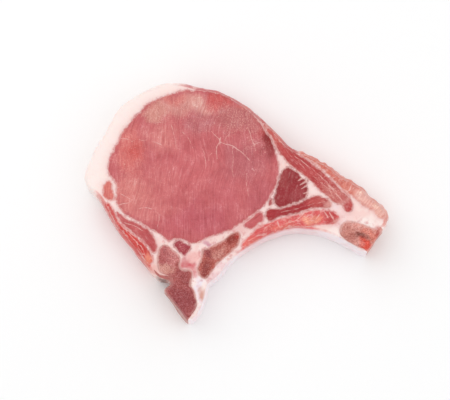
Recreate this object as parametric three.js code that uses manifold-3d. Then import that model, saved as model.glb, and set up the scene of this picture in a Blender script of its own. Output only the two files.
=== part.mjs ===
// A raw bone-in pork rib chop lying on its cut face, in millimetres, with +Z up.
// One web of fat and connective tissue holds twelve muscles and three sawn bones, and every
// layer runs through the whole thickness of the chop.
import * as THREE from "three";
import { mergeVertices } from "three/addons/utils/BufferGeometryUtils.js";
import Module from "manifold-3d";

// Driving dimensions
const THICKNESS = 20; // of the lean, from the board to the upper cut face
const FAT_DROP = 0.5; // the fat lies this much lower than the lean
const SEAM_GAP = 0.3; // between a muscle or bone and the web round it
const CROWN = 0.8; // how far a muscle's edge rolls over, inwards and down
const BONE_EDGE = 0.4; // the same for a sawn bone
const SHOULDER = 1.3; // how far the outer edge rolls in at the cut face
const SAWN_SHOULDER = 0.5; // the same where the saw went through bone
const SHOULDER_DEPTH = 4; // how far down the wall the roll reaches
const FOOT_INSET = 0.6; // the wall's lower edge rolls in by this share of the upper one's roll
const FOOT_DEPTH = 0.5; // and reaches up the wall by this share of it
const ROLLS_ACROSS = 6; // a thin piece rolls over less, so that it stays this many rolls wide
const OUTLINE_PITCH = 3.2; // length of a facet round the chop
const MUSCLE_PITCH = 2.6; // length of a facet round a muscle or bone
const LEAN_ROUGHNESS = 0.45;
const BONE_ROUGHNESS = 0.6;
const FAT_ROUGHNESS = 0.4;

// Where the rings of a rolled edge lie: shares of its depth, and of a muscle's roll in and down
const SHOULDER_STEPS = [0, 0.6, 0.87, 1];
const FOOT_STEPS = [1, 0.8, 0];
const CROWN_STEPS = [[1, 0], [0.3, 0.3], [0, 1]];
// A point is straight across from another where the way over is under this share of the way round
const SHORT_WAY = 0.6;
const WELD = 1e-4; // points closer than this are one
const CLEARANCE = 1; // how far a pocket's cutter stands out of both faces

const wasm = await Module();
wasm.setup();

// The outside of the chop at half its height, clockwise from the notch in the backbone.
// Each run is a smooth curve, and the runs meet at corners.
const OUTSIDE = {
  backAndBelly: [
    [-38.8, -38.6], [-42.7, -34.7], [-47.7, -28.3], [-52.7, -21.8],
    [-57.7, -15.8], [-62.2, -9.8], [-65.2, -4.4], [-68.2, 1.6],
    [-74.4, 7.4], [-76, 10.5], [-76.2, 13.5], [-75.2, 17.5], [-72.7, 23.7],
    [-70.2, 29.2], [-66, 35.5], [-63.4, 40.5], [-60.8, 46], [-56.5, 50.8],
    [-51.5, 53.7], [-46, 57.2], [-40.5, 59.7], [-33.5, 61.2], [-28, 61.2],
    [-18.3, 58.7], [-8.3, 56.8], [1.7, 51.6], [11.7, 44], [21.7, 34.2],
    [26.7, 28.7], [31.7, 26.2], [34.7, 25.5], [40.2, 22.3], [46.2, 19.2],
    [50.7, 15], [52, 13.8], [56.7, 12.3], [62.2, 8.8], [65.2, 6.3],
    [66.4, 4.3], [70.7, 0.8], [75.2, -4.2], [76, -6.8], [75.3, -9.7],
    [73.8, -13],
  ],
  sawnRib: [[73.8, -13], [65, -25.4]],
  ribArch: [
    [65, -25.4], [62.5, -24.6], [57.8, -22], [50.8, -18], [41.8, -15],
    [34, -13.8], [28.3, -13.3], [20.8, -15.4], [13.8, -18.2], [6.8, -22.4],
    [0.3, -26.9], [-4.7, -31.5], [-8.3, -36.5], [-13.8, -41.5],
  ],
  backboneTip: [
    [-13.8, -41.5], [-14.8, -44], [-15.9, -49.4], [-17, -52.8],
    [-20, -57.5], [-22, -59.4], [-23.3, -60], [-24.6, -59.4],
  ],
  sawnBackbone: [[-24.6, -59.4], [-35.4, -45]],
  notchLip: [[-35.4, -45], [-35.6, -43.4]],
  notchSlope: [[-35.6, -43.4], [-32.9, -41.2]],
  notchStep: [[-32.9, -41.2], [-33.7, -38.9]],
  notchEdge: [[-33.7, -38.9], [-38.8, -38.6]],
};
const SAWN_RUNS = ["sawnRib", "sawnBackbone", "notchLip", "notchSlope", "notchStep", "notchEdge"];

// The muscles, each as a closed smooth curve on the cut face
const MUSCLES = {
  loin_eye: {
    colour: "#c9696d",
    outline: [
      [-28, 56], [-20.8, 56.6], [-13.3, 56.2], [-7.3, 55], [-2.3, 52.8],
      [2.7, 49.3], [7.5, 45.2], [11, 41.3], [14, 37], [18.2, 29.3],
      [20, 21.3], [20.8, 13.7], [18.9, 7.6], [15.7, 1.8], [11.2, -3.2],
      [5.2, -7.9], [-0.3, -11.6], [-7.3, -15], [-14.8, -17], [-20.8, -20],
      [-24, -19.6], [-28, -17.4], [-32, -18.8], [-36.7, -16.4],
      [-42.2, -12.9], [-48.2, -9.3], [-51.7, -7.9], [-55.3, -5.5],
      [-59, -0.8], [-59.7, 2.8], [-59.2, 6.8], [-59.8, 10.3], [-63.1, 13.8],
      [-63.5, 20], [-61.2, 26], [-59, 30.3], [-56.3, 36.3], [-51.8, 41.8],
      [-46.8, 47.3], [-41.8, 51], [-34.3, 54.1],
    ],
  },
  eye_tip: {
    colour: "#9c3f4a",
    outline: [
      [-31.2, -20.9], [-29.4, -19.5], [-28, -19], [-26.3, -21],
      [-23.5, -21.4], [-23.2, -23], [-24.2, -25], [-25.8, -26.1],
      [-27.2, -25.3], [-28.8, -24], [-30, -22.4],
    ],
  },
  rib_cap_muscle: {
    colour: "#c4595a",
    outline: [
      [13, 40.6], [15.9, 38.2], [18.6, 34.9], [21.8, 31], [25, 27.8],
      [28.3, 25.4], [32, 23.1], [35.8, 20.9], [39.3, 18.4], [42.3, 15.5],
      [45.8, 12.5], [48.8, 9.5], [51.8, 6.5], [54.7, 3.8], [56.8, 0.8],
      [57.8, -1.8], [57.2, -4.2], [55.2, -4.3], [53.7, -1.8], [51.7, -0.2],
      [49.6, -0.1], [47.7, 1.6], [45.8, 3.2], [42.8, 5.9], [40.3, 8.8],
      [37.3, 11.9], [34.3, 14.4], [31.3, 16.4], [28.3, 18.4], [26.3, 20.2],
      [23.9, 23.1], [21.7, 26], [19.5, 30], [17.4, 34.2], [15, 37.5],
    ],
  },
  dark_muscle: {
    colour: "#94393d",
    outline: [
      [22.3, 14.2], [23.8, 16.8], [25.3, 17.3], [27.2, 16.8], [29.3, 15.6],
      [30.8, 14.3], [31.6, 12.4], [31.8, 11.2], [33.5, 11.4], [35.6, 10.4],
      [35.2, 9], [33.7, 8.3], [35.9, 7.4], [35.2, 6], [35.6, 4.6],
      [34.8, 3.2], [33.2, 1.7], [30.7, 0.7], [28.2, -0.1], [25.7, -0.9],
      [22.8, -2.1], [20.8, -2.1], [19.4, -0.7], [19, 1.3], [20, 3.3],
      [20.3, 6.3], [21.1, 9.7],
    ],
  },
  belly_muscle: {
    colour: "#d98275",
    outline: [
      [32, 24.7], [34.6, 24.2], [36.7, 23.1], [39.7, 21.2], [42.7, 19.6],
      [45.6, 18.1], [48, 16], [50.1, 13.9], [51.4, 12.7], [54, 12],
      [56.2, 11.1], [59.1, 9.2], [61.6, 7.7], [64.3, 5.5], [65.4, 3.5],
      [67.6, 1.8], [70, -0.2], [72.4, -2.9], [74.2, -4.9], [74.7, -6.8],
      [74, -8.4], [71.7, -7], [69.7, -5.4], [67.2, -2.8], [65.2, -2.2],
      [62.7, -0.3], [61.2, 1.3], [58.2, 3.8], [55.3, 5.8], [52.7, 7.3],
      [51, 9.6], [49.1, 11.3], [46.2, 14.6], [42.6, 18.2], [39.5, 20.4],
      [35.8, 22.6],
    ],
  },
  strip_muscle: {
    colour: "#b8434a",
    outline: [
      [15, -5.3], [15.3, -3.8], [16.8, -3.2], [19.8, -3.9], [21.8, -3.6],
      [24.3, -2.9], [26.8, -2.1], [29.8, -1.1], [32.8, -0.1], [35.8, 1.4],
      [39.3, 2.6], [41.8, 2.5], [45.2, 1.6], [47, -0.3], [47.4, -1.8],
      [45.8, -2.5], [41.8, -2.3], [36.8, -2.8], [33.3, -3.8], [29.8, -5.2],
      [26.8, -6], [23.8, -6.3], [20.8, -6.9], [18.8, -8.2], [16.8, -9.3],
      [15.5, -8.6], [15, -7.3],
    ],
  },
  slit_muscle: {
    colour: "#b5525a",
    outline: [
      [17.6, 2.3], [16.6, 0.8], [15.8, -0.9], [16.5, -1.8], [17.6, -0.6],
      [17.9, 0.9],
    ],
  },
  corner_muscle: {
    colour: "#bd5560",
    outline: [
      [3.9, -11.3], [4.8, -9.9], [6.8, -8.6], [9.2, -6.5], [11.6, -4.7],
      [13, -5.3], [13.4, -7.2], [13, -9], [11, -10.2], [9, -11.8],
      [7.2, -13], [5.8, -13.4], [4.6, -12.6],
    ],
  },
  intercostal_muscle: {
    colour: "#d5605c",
    outline: [
      [3, -22.6], [3.9, -19.9], [5.8, -18.4], [8.4, -15.8], [10.2, -13.4],
      [12.9, -11.7], [15.8, -11], [19.2, -9.5], [22.3, -8.1], [26.8, -7.4],
      [31.8, -5.9], [36.8, -4.4], [41.8, -4.1], [45.8, -4.4], [48.8, -5.4],
      [51.1, -7.8], [50.6, -9.7], [47.7, -10.4], [44.3, -10], [41.3, -10.8],
      [36.8, -11.6], [33.3, -12.3], [29.3, -12], [25.8, -12.9],
      [21.8, -14.1], [16.8, -15.8], [12.8, -17.6], [9.3, -19.6],
      [6.8, -21.2], [4.8, -22.5],
    ],
  },
  back_muscle_outer: {
    colour: "#cf5550",
    outline: [
      [-65, 0], [-62.9, -2.6], [-60.9, -6.2], [-58.9, -10.2],
      [-56.7, -12.9], [-53.7, -14.9], [-50.7, -17.4], [-48.7, -18.9],
      [-46.2, -21.4], [-43.7, -24.4], [-42.3, -27.3], [-42.3, -30.3],
      [-43.2, -31.4], [-45.8, -28.4], [-48, -25.2], [-51.2, -21.6],
      [-54.6, -17.2], [-59.5, -11.2], [-62.4, -6.2], [-64.6, -2],
    ],
  },
  back_muscle_inner: {
    colour: "#bb4f55",
    outline: [
      [-60.3, -4.2], [-57.2, -6.7], [-54.7, -8.7], [-51.2, -10.4],
      [-47.7, -12.1], [-44.7, -14], [-42.6, -16], [-41.2, -18.6],
      [-40.4, -21], [-40.1, -23], [-41, -25.9], [-42.7, -23.3],
      [-45.3, -20.2], [-47.8, -17.7], [-49.9, -16.1], [-53, -13.6],
      [-55.9, -11.4], [-58.2, -8.4],
    ],
  },
  cap_corner_muscle: {
    colour: "#e0857e",
    outline: [
      [-64.2, 10.6], [-62.9, 7.8], [-62, 4.8], [-61.4, 2.4], [-62.2, 1.2],
      [-64.3, 2.2], [-65.8, 3.9], [-66.6, 5.9], [-65.5, 8.8],
    ],
  },
};

// The sawn bones, in smooth runs that meet at corners
const BONES = {
  vertebra: {
    colour: "#a06a66",
    runs: [
      [
        [-34.2, -44.4], [-32.6, -43.2], [-31.2, -41.6], [-30.9, -39.3],
        [-31.8, -37.2], [-35, -36], [-37.9, -35.1], [-39.2, -31.5],
        [-39.3, -28.2], [-39, -25.6], [-38.6, -23.8], [-37.9, -22],
        [-36, -21.1], [-33.6, -22.3], [-31.3, -24.3], [-28.8, -26.1],
        [-28, -27.9], [-28.5, -30.8], [-28.4, -33], [-25.8, -34],
        [-22.6, -33.7], [-22.2, -36.3], [-22.5, -39.3], [-23.2, -41.3],
        [-21.9, -43.2], [-20.7, -45], [-20.6, -47.8], [-19.6, -49.9],
        [-20.4, -53.2], [-22.3, -55.6], [-23.6, -58],
      ],
      [[-23.6, -58], [-34.2, -44.4]],
    ],
  },
  rib_head: {
    colour: "#b07c70",
    runs: [
      [
        [-17.2, -23.3], [-15.2, -23.2], [-13.2, -22.7], [-11.2, -21.3],
        [-8.7, -20.2], [-6.3, -19.2], [-4.4, -17.4], [-2.9, -15.8],
        [-0.8, -15], [1.6, -15], [2, -17.3], [1.3, -20.2], [0.3, -22.2],
        [-1.7, -23.7], [-3.7, -25.7], [-6.3, -27.7], [-8.8, -29.8],
        [-11.2, -32.8], [-13.3, -35.8], [-14.8, -38.1], [-16.8, -38.2],
        [-18.3, -36.7], [-19.3, -34.2], [-19.2, -31.7], [-17.8, -29.7],
        [-17, -26.7], [-17.2, -23.3],
      ],
    ],
  },
  rib_end: {
    colour: "#c08a7e",
    runs: [
      [
        [65, -23.6], [60.5, -21.9], [56.5, -19.6], [52.8, -17.2],
        [51.6, -14.8], [52, -11.8], [54.6, -9.8], [58.8, -9.9],
        [63.2, -11.2], [67.3, -13], [71.4, -14.6],
      ],
      [[71.4, -14.6], [65, -23.6]],
    ],
  },
};
const FAT_COLOUR = "#f6dcd4";

// Points along one run of an outline, without its last point, at about the given pitch.
function sampleRun(run, pitch, closed = false) {
  const points = run.map(([x, y]) => new THREE.Vector3(x, y, 0));
  const curve = new THREE.CatmullRomCurve3(points, closed, "centripetal");
  const count = Math.max(1, Math.round(curve.getLength() / pitch));
  return curve.getSpacedPoints(count).slice(0, count).map((p) => new THREE.Vector2(p.x, p.y));
}

// The same points the other way round if they go clockwise.
function anticlockwise(loop) {
  return THREE.ShapeUtils.isClockWise(loop) ? [...loop].reverse() : loop;
}

// The outward unit normal at each point of an anticlockwise loop.
function outwardNormals(loop) {
  return loop.map((point, i) => {
    const before = loop[(i + loop.length - 1) % loop.length];
    const after = loop[(i + 1) % loop.length];
    const along = after.clone().sub(before).normalize();
    return new THREE.Vector2(along.y, -along.x);
  });
}

function offsetLoop(loop, distance) {
  const normals = outwardNormals(loop);
  return loop.map((point, i) => point.clone().addScaledVector(normals[i], distance));
}

// A closed mesh from loops of equal length, the lowest first, with a flat cap at each end.
function loft(rings) {
  const count = rings[0].loop.length;
  const positions = rings.flatMap(({ loop, z }) => loop.flatMap((p) => [p.x, p.y, z]));
  const faces = [];
  for (let level = 0; level < rings.length - 1; level++) {
    for (let i = 0; i < count; i++) {
      const next = (i + 1) % count;
      const [a, b] = [level * count + i, level * count + next];
      faces.push([a, b, b + count], [a, b + count, a + count]);
    }
  }
  const top = (rings.length - 1) * count;
  const lid = (ring) => THREE.ShapeUtils.triangulateShape(ring.loop, []);
  lid(rings[0]).forEach(([a, b, c]) => faces.push([a, c, b]));
  lid(rings.at(-1)).forEach(([a, b, c]) => faces.push([top + a, top + b, top + c]));
  const geometry = new THREE.BufferGeometry();
  geometry.setAttribute("position", new THREE.Float32BufferAttribute(positions, 3));
  geometry.setIndex(faces.flat());
  return geometry;
}

function toSolid(geometry) {
  const bare = geometry.clone();
  bare.deleteAttribute("normal");
  bare.deleteAttribute("uv");
  const merged = mergeVertices(bare, WELD);
  return new wasm.Manifold(
    new wasm.Mesh({
      numProp: 3,
      vertProperties: new Float32Array(merged.attributes.position.array),
      triVerts: new Uint32Array(merged.index.array),
    }),
  );
}

function toGeometry(solid) {
  const mesh = solid.getMesh();
  const geometry = new THREE.BufferGeometry();
  geometry.setAttribute("position", new THREE.BufferAttribute(mesh.vertProperties, 3));
  geometry.setIndex(new THREE.BufferAttribute(mesh.triVerts, 1));
  geometry.computeVertexNormals();
  return geometry;
}

// How far the outer edge rolls in at each point of the outside: little where it is sawn.
function outsideWithShoulders() {
  const marked = Object.entries(OUTSIDE).flatMap(([name, run]) => {
    const width = SAWN_RUNS.includes(name) ? SAWN_SHOULDER : SHOULDER;
    return sampleRun(run, OUTLINE_PITCH).map((point) => ({ point, width }));
  });
  const clockwise = THREE.ShapeUtils.isClockWise(marked.map(({ point }) => point));
  const ordered = clockwise ? marked.reverse() : marked;
  const widths = ordered.map(({ width }, i) => {
    const before = ordered[(i + ordered.length - 1) % ordered.length].width;
    const after = ordered[(i + 1) % ordered.length].width;
    return Math.min(width, (before + width + after) / 3);
  });
  return { loop: ordered.map(({ point }) => point), widths };
}

// The whole chop up to a given height, with both edges of its wall rolled in.
function chopBlank(height) {
  const { loop, widths } = outsideWithShoulders();
  const normals = outwardNormals(loop);
  const ringAt = (z, share) => ({
    z,
    loop: loop.map((p, i) => p.clone().addScaledVector(normals[i], -share * widths[i])),
  });
  const roll = (t) => 1 - Math.sqrt(1 - t * t);
  const upper = SHOULDER_STEPS.map((t) => ringAt(height - SHOULDER_DEPTH * (1 - t), roll(t)));
  const lower = FOOT_STEPS.map((t) =>
    ringAt(SHOULDER_DEPTH * FOOT_DEPTH * (1 - t), FOOT_INSET * roll(t)),
  );
  return toSolid(loft([...lower, ...upper]));
}

// How wide the piece is at each point of its loop: the distance straight across to points
// that lie much further off along the loop.
function widthsAcross(loop) {
  return loop.map((point, i) =>
    loop.reduce((least, other, j) => {
      const steps = Math.min(Math.abs(i - j), loop.length - Math.abs(i - j));
      const across = point.distanceTo(other);
      return across < SHORT_WAY * steps * MUSCLE_PITCH ? Math.min(least, across) : least;
    }, Infinity),
  );
}

// A muscle or bone as a prism through the chop, its upper and lower edges rolled over.
function prism(loop, roll) {
  const normals = outwardNormals(loop);
  const rolls = widthsAcross(loop).map((width) => Math.min(roll, width / ROLLS_ACROSS));
  const lower = CROWN_STEPS.map(([inset, height]) => ({
    z: height * roll,
    loop: loop.map((p, i) => p.clone().addScaledVector(normals[i], -inset * rolls[i])),
  }));
  const upper = lower.map((ring) => ({ loop: ring.loop, z: THICKNESS - ring.z })).reverse();
  return toSolid(loft([...lower, ...upper]));
}

// The pocket that the web keeps open for a muscle or bone.
function pocket(loop) {
  const wide = offsetLoop(loop, SEAM_GAP);
  const ends = [-CLEARANCE, THICKNESS + CLEARANCE];
  return toSolid(loft(ends.map((z) => ({ loop: wide, z }))));
}

const chop = new THREE.Group();

function addPiece(name, solid, colour, roughness) {
  const material = new THREE.MeshStandardMaterial({ color: colour, roughness, metalness: 0 });
  const mesh = new THREE.Mesh(toGeometry(solid), material);
  mesh.name = name;
  chop.add(mesh);
}

const blank = chopBlank(THICKNESS);
let web = chopBlank(THICKNESS - FAT_DROP);

for (const [name, { colour, outline }] of Object.entries(MUSCLES)) {
  const loop = anticlockwise(sampleRun(outline, MUSCLE_PITCH, true));
  addPiece(name, blank.intersect(prism(loop, CROWN)), colour, LEAN_ROUGHNESS);
  web = web.subtract(pocket(loop));
}
for (const [name, { colour, runs }] of Object.entries(BONES)) {
  const loop = anticlockwise(runs.flatMap((run) => sampleRun(run, MUSCLE_PITCH)));
  addPiece(name, blank.intersect(prism(loop, BONE_EDGE)), colour, BONE_ROUGHNESS);
  web = web.subtract(pocket(loop));
}
addPiece("fat_web", web, FAT_COLOUR, FAT_ROUGHNESS);

// The origin goes to the middle of the chop's box, on the board.
const box = new THREE.Box3().setFromObject(chop);
const middle = box.getCenter(new THREE.Vector3());
chop.position.set(-middle.x, -middle.y, -box.min.z);

export default chop;
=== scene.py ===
import math

import bmesh
import bpy
import numpy as np
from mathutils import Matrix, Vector
from mathutils.geometry import delaunay_2d_cdt


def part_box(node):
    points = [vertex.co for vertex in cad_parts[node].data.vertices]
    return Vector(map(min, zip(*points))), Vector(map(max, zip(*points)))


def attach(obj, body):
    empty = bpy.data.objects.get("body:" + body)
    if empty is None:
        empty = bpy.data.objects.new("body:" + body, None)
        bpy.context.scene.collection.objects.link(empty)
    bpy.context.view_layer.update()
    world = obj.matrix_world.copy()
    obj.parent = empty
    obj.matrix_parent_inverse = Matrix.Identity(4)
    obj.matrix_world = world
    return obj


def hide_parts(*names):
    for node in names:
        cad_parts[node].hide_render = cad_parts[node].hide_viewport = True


# A raw bone-in pork rib chop on a pale floor. Each muscle, each bone and the web of fat round
# them is rebuilt with a fine mesh on the outline of its solid, and takes a procedural material.
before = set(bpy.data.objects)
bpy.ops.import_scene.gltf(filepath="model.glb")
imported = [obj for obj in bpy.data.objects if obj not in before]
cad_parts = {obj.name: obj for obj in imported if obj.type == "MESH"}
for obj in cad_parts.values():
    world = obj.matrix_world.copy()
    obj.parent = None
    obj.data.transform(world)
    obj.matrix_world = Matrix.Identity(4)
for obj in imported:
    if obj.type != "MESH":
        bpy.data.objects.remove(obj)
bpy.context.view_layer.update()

# Sizes are in millimetres until a mesh is made.
MM = 0.001
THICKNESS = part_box("loin_eye")[1].z / MM
MID_HEIGHT = THICKNESS / 2
SEAM_HEIGHT = THICKNESS - 0.55  # of the upper seams, just under the top of the solid fat
PITCH = 0.75  # between the points of the upper and lower faces
SHARP_ANGLE = math.radians(55)  # a sharper edge stays crisp
CORNER_CUT = 0.25  # of a side of a loop, from each of its ends
WELD = 1e-6  # nearer points of a CAD node are one, in metres
TOUCHING = 1e-5  # the same for the points of a plan
TINY = 1e-12  # in place of a length of 0

# The grid that fills a plan, in shares of the pitch
GRID_SHIFT = 0.12  # of a point off its place
GRID_SEED = 5
EDGE_ROOM = 0.55  # between an outline and the grid
VEIN_ROOM = 0.45  # between a vein and the grid
VEIN_CELL = 0.3  # a square that keeps one point of a vein

# How the muscles and bones grow across the seams
SEAM_SHARE = 0.36  # how much of a seam each side may grow across
SEAM_KEPT = 0.1  # what each side leaves free of that
RIM_KEPT = 0.4  # the width of fat left at the outside of the chop
LEAST_GROWTH = 0.1
MUSCLE_GROWTH = 0.7  # at most
BONE_GROWTH = 0.2  # at most
MEAN_GROWTH = 0.9  # the share that a piece keeps

# Heights over the seams, and how far from a seam the face takes to rise
CROWN = (0.5, 1.4)  # of a muscle
DOME_REACH = 14
BONE_STEP = (0.35, 0.4)
BONE_DISH = (0.1, 2.5)  # this one sinks
FAT_SWELL = (0.2, 2.0)
SWELL_DROP = 0.06  # of the whole upper face
SEAM_GROOVE = 0.15  # how far the lower face lifts off at a seam
GROOVE_REACH = 0.8

# The outer edge and wall of the chop
RING_INSET = 0.5  # from the outside to the ring that edges each face
ROLL_DEPTH = 4.0  # how far down the wall the upper edge is rolled
FOOT_DEPTH = 2.0  # the same for the lower edge
FOOT_SHARE = 0.6  # of the upper roll, for the lower one
LEAST_ROLL = 0.5
SHOULDER_SHARES = (0.25, 0.5, 0.75, 1.0)  # of the upper roll, at its rows of points
WALL_ROWS = 12  # of points between the rolls
ANKLE_SHARES = (1.0, 0.7, 0.35)  # of the lower roll, at its rows
EDGE_LUMP = 0.1  # the mean height of the lumps
BELLY_LUMP = 0.15  # what the belly muscle adds to it
BELLY_NEAR, BELLY_FAR = 3, 5  # from that muscle, where it fades
MOST_LUMP = 0.9
LUMPY_ROLL = 0.6  # over the least roll, where the lumps are whole

# Waves: height, size and seed. Those of the growth are in shares of it.
GROWTH_WAVES = [(0.32, 3.5, 11), (0.28, 1.3, 12)]
SWELL_WAVES = [(0.16, 20, 21), (0.05, 5, 22)]
GRAIN_WAVES = [(1.2, 16, 41)]
PIT_WAVES = [(0.1, 1.1, 51)]
WALL_WAVES = [(0.45, 9, 61), (0.2, 3.5, 62)]
EDGE_WAVES = [(0.1, 5, 81)]
BELLY_WAVES = [(0.4, 2.6, 82)]
WAVES_EACH = 18  # cosines in one ripple
WAVE_LENGTHS = (1.2, 2.6)  # of those cosines, in sizes of the ripple

# The soft edges of the patches
BROAD_DRIFT = (6, 31)  # size and seed
FINE_DRIFT = (2, 33)
FINE_SHARE = 0.4  # of the fine drift in the whole
DRIFT = 1.4
PATCH_END = 1.35  # where a patch ends, in reaches from its middle
PATCH_FADE = 0.95  # how much of that it fades over
LEAST_FLECKS = 0.15

# Patches and veins are placed in plan, from a point that lies this far from the loin eye's middle.
EYE_IN_PLAN = np.array((-21.4, 18.3))
eye_low, eye_high = (np.array(corner.xy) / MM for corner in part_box("loin_eye"))
PLAN_ORIGIN = (eye_low + eye_high) / 2 - EYE_IN_PLAN

# The look of each piece. Colours are sRGB from 0 to 255. A patch is the middle and the reach in
# x and y of a soft area of another colour, how strong it is at most, and its colour.
LEAN = {
    "loin_eye": {
        "colour": (198, 98, 102),
        "grain": 86,
        "dome": 0.25,
        "flecks": [
            ((-40, 45), (10, 6), 1.0),
            ((-25, 50), (12, 7), 1.0),
            ((-8, 46), (10, 6), 0.7),
            ((2, 41), (13, 8), 0.9),
            ((8, 30), (9, 10), 0.6),
            ((-12, 44), (34, 12), 0.5),
            ((-54, 20), (10, 22), 0.45),
            ((8, 18), (12, 14), 0.3),
        ],
        "patches": [
            ((-40, 46), (9, 5), 0.8, (214, 146, 134)),
            ((-27, 50), (12, 6), 0.85, (216, 146, 138)),
            ((-18, 48), (6, 6), 0.7, (220, 156, 148)),
            ((-30, 53), (6, 3), 0.5, (212, 104, 98)),
            ((-8, 51), (7, 6), 0.95, (202, 88, 86)),
            ((-18, 40), (9, 6), 0.75, (192, 108, 112)),
            ((1, 43), (14, 8), 0.85, (188, 106, 106)),
            ((8, 49), (8, 3), 0.7, (210, 106, 96)),
            ((15, 37), (5, 7), 0.75, (176, 64, 62)),
            ((17, 30), (4.5, 7), 0.85, (140, 34, 38)),
            ((4, 21), (12, 12), 0.75, (188, 100, 106)),
            ((12, 3), (7, 9), 0.6, (188, 92, 100)),
            ((-54, 26), (8, 13), 0.8, (216, 114, 108)),
            ((-51, 26), (4, 5), 0.7, (204, 80, 76)),
            ((-37, 33), (9, 8), 0.7, (218, 130, 126)),
            ((-23, 18), (14, 12), 0.5, (210, 108, 112)),
            ((-38, 10), (10, 9), 0.5, (212, 116, 116)),
            ((-53, 4), (10, 10), 0.75, (220, 132, 126)),
            ((-44, -3), (11, 7), 0.65, (214, 122, 120)),
            ((-16, -9), (15, 9), 0.8, (192, 90, 100)),
            ((-31, -11), (7, 5), 0.5, (200, 98, 106)),
            ((-6, 4), (8, 9), 0.5, (200, 98, 106)),
        ],
    },
    "eye_tip": {
        "colour": (166, 62, 72),
        "grain": 60,
        "flecks": [((-27, -22), (4, 4), 0.6)],
    },
    "rib_cap_muscle": {
        "colour": (187, 69, 70),
        "grain": -43,
        "streaky": 0.4,
        "flecks": [((46, 8), (8, 8), 0.9)],
        "patches": [
            ((18, 34), (6, 8), 0.7, (200, 92, 84)),
            ((33, 20), (7, 4), 0.6, (178, 62, 66)),
            ((42, 12), (5, 4), 0.5, (182, 64, 66)),
            ((50, 3), (8, 6), 0.7, (200, 112, 106)),
            ((53, -1), (2.5, 3), 0.5, (226, 168, 162)),
        ],
    },
    "dark_muscle": {
        "colour": (150, 40, 47),
        "grain": 78,
        "streaky": 0.2,
        "patches": [((31, 3), (6, 4), 0.6, (164, 66, 70)), ((24, 13), (3, 4), 0.5, (162, 70, 70))],
    },
    "belly_muscle": {
        "colour": (216, 114, 98),
        "grain": 52,
        "streaky": 1.0,
        "flecks": [((52, 10), (14, 12), 0.8), ((68, -1), (10, 8), 1.0)],
        "patches": [
            ((36, 23), (7, 4), 0.7, (214, 106, 92)),
            ((48, 13), (6, 6), 0.6, (208, 104, 94)),
            ((57, 8), (5, 5), 0.5, (226, 142, 128)),
            ((64, 3), (6, 6), 0.8, (240, 186, 176)),
            ((71, -4), (5, 6), 0.8, (240, 182, 170)),
        ],
    },
    "strip_muscle": {
        "colour": (166, 43, 49),
        "grain": 16,
        "streaky": 0.12,
        "patches": [
            ((41, 1), (6, 4), 0.6, (196, 86, 82)),
            ((46, -1), (2.5, 3), 0.8, (226, 160, 152)),
            ((24, -5), (5, 3), 0.4, (160, 48, 54)),
        ],
    },
    "slit_muscle": {"colour": (176, 76, 78), "grain": 60},
    "corner_muscle": {"colour": (198, 92, 96), "grain": 40},
    "intercostal_muscle": {
        "colour": (224, 94, 95),
        "grain": 24,
        "streaky": 1.0,
        "flecks": [((28, -9), (20, 8), 0.8)],
        "patches": [
            ((8, -20), (6, 4), 0.7, (230, 116, 106)),
            ((14, -14), (5, 3), 0.6, (206, 80, 80)),
            ((22, -12), (6, 2.5), 0.7, (226, 112, 100)),
            ((30, -8), (4, 3), 0.6, (202, 76, 78)),
            ((38, -9), (5, 2.5), 0.5, (230, 128, 108)),
            ((47, -8), (5, 4), 0.8, (184, 60, 62)),
            ((51, -9), (2.2, 3), 0.8, (232, 172, 164)),
            ((37, -9), (3.5, 2), 0.6, (236, 156, 130)),
        ],
    },
    "back_muscle_outer": {
        "colour": (206, 56, 54),
        "grain": -54,
        "streaky": 0.25,
        "flecks": [((-52, -18), (10, 12), 0.35)],
        "patches": [
            ((-61, -7), (4, 6), 0.6, (212, 104, 102)),
            ((-54, -15), (4, 5), 0.6, (216, 70, 62)),
            ((-46, -25), (5, 5), 0.6, (202, 66, 62)),
            ((-43.5, -29), (3, 3), 0.7, (236, 148, 124)),
        ],
    },
    "back_muscle_inner": {
        "colour": (194, 86, 88),
        "grain": -46,
        "streaky": 0.35,
        "patches": [((-44, -19), (5, 6), 0.5, (184, 78, 82)), ((-55, -9), (6, 5), 0.5, (206, 108, 108))],
    },
    "cap_corner_muscle": {"colour": (218, 118, 110), "grain": 80},
}
BONE = {
    "vertebra": {
        "colour": (178, 92, 88),
        "patches": [
            ((-36, -26), (4, 6), 0.7, (194, 108, 108)),
            ((-31, -27), (3, 5), 0.7, (214, 134, 130)),
            ((-35, -33), (5, 3), 0.8, (222, 158, 144)),
            ((-27, -50), (8, 10), 0.95, (158, 74, 76)),
            ((-26, -38), (4, 5), 0.7, (164, 80, 80)),
        ],
    },
    "rib_head": {
        "colour": (186, 96, 86),
        "patches": [
            ((-15, -34), (4, 5), 0.85, (152, 68, 64)),
            ((-2, -19), (4.5, 3.5), 0.9, (148, 54, 46)),
            ((1, -17), (1.6, 2), 0.9, (180, 44, 34)),
            ((-15, -25), (3, 3), 0.8, (156, 74, 76)),
            ((-9, -25), (4, 3), 0.7, (208, 138, 126)),
        ],
    },
    "rib_end": {
        "colour": (222, 150, 138),
        "patches": [
            ((55, -12), (4, 3), 0.6, (196, 120, 106)),
            ((59, -16.5), (7, 3.5), 0.8, (180, 104, 92)),
            ((66, -21.5), (5.5, 2.0), 0.9, (224, 70, 50)),
            ((68, -16), (3.5, 3.5), 0.85, (226, 130, 112)),
            ((71, -14.5), (2.5, 2), 0.8, (190, 62, 54)),
            ((62.5, -18), (4, 2.8), 0.9, (112, 50, 40)),
        ],
    },
}
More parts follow.
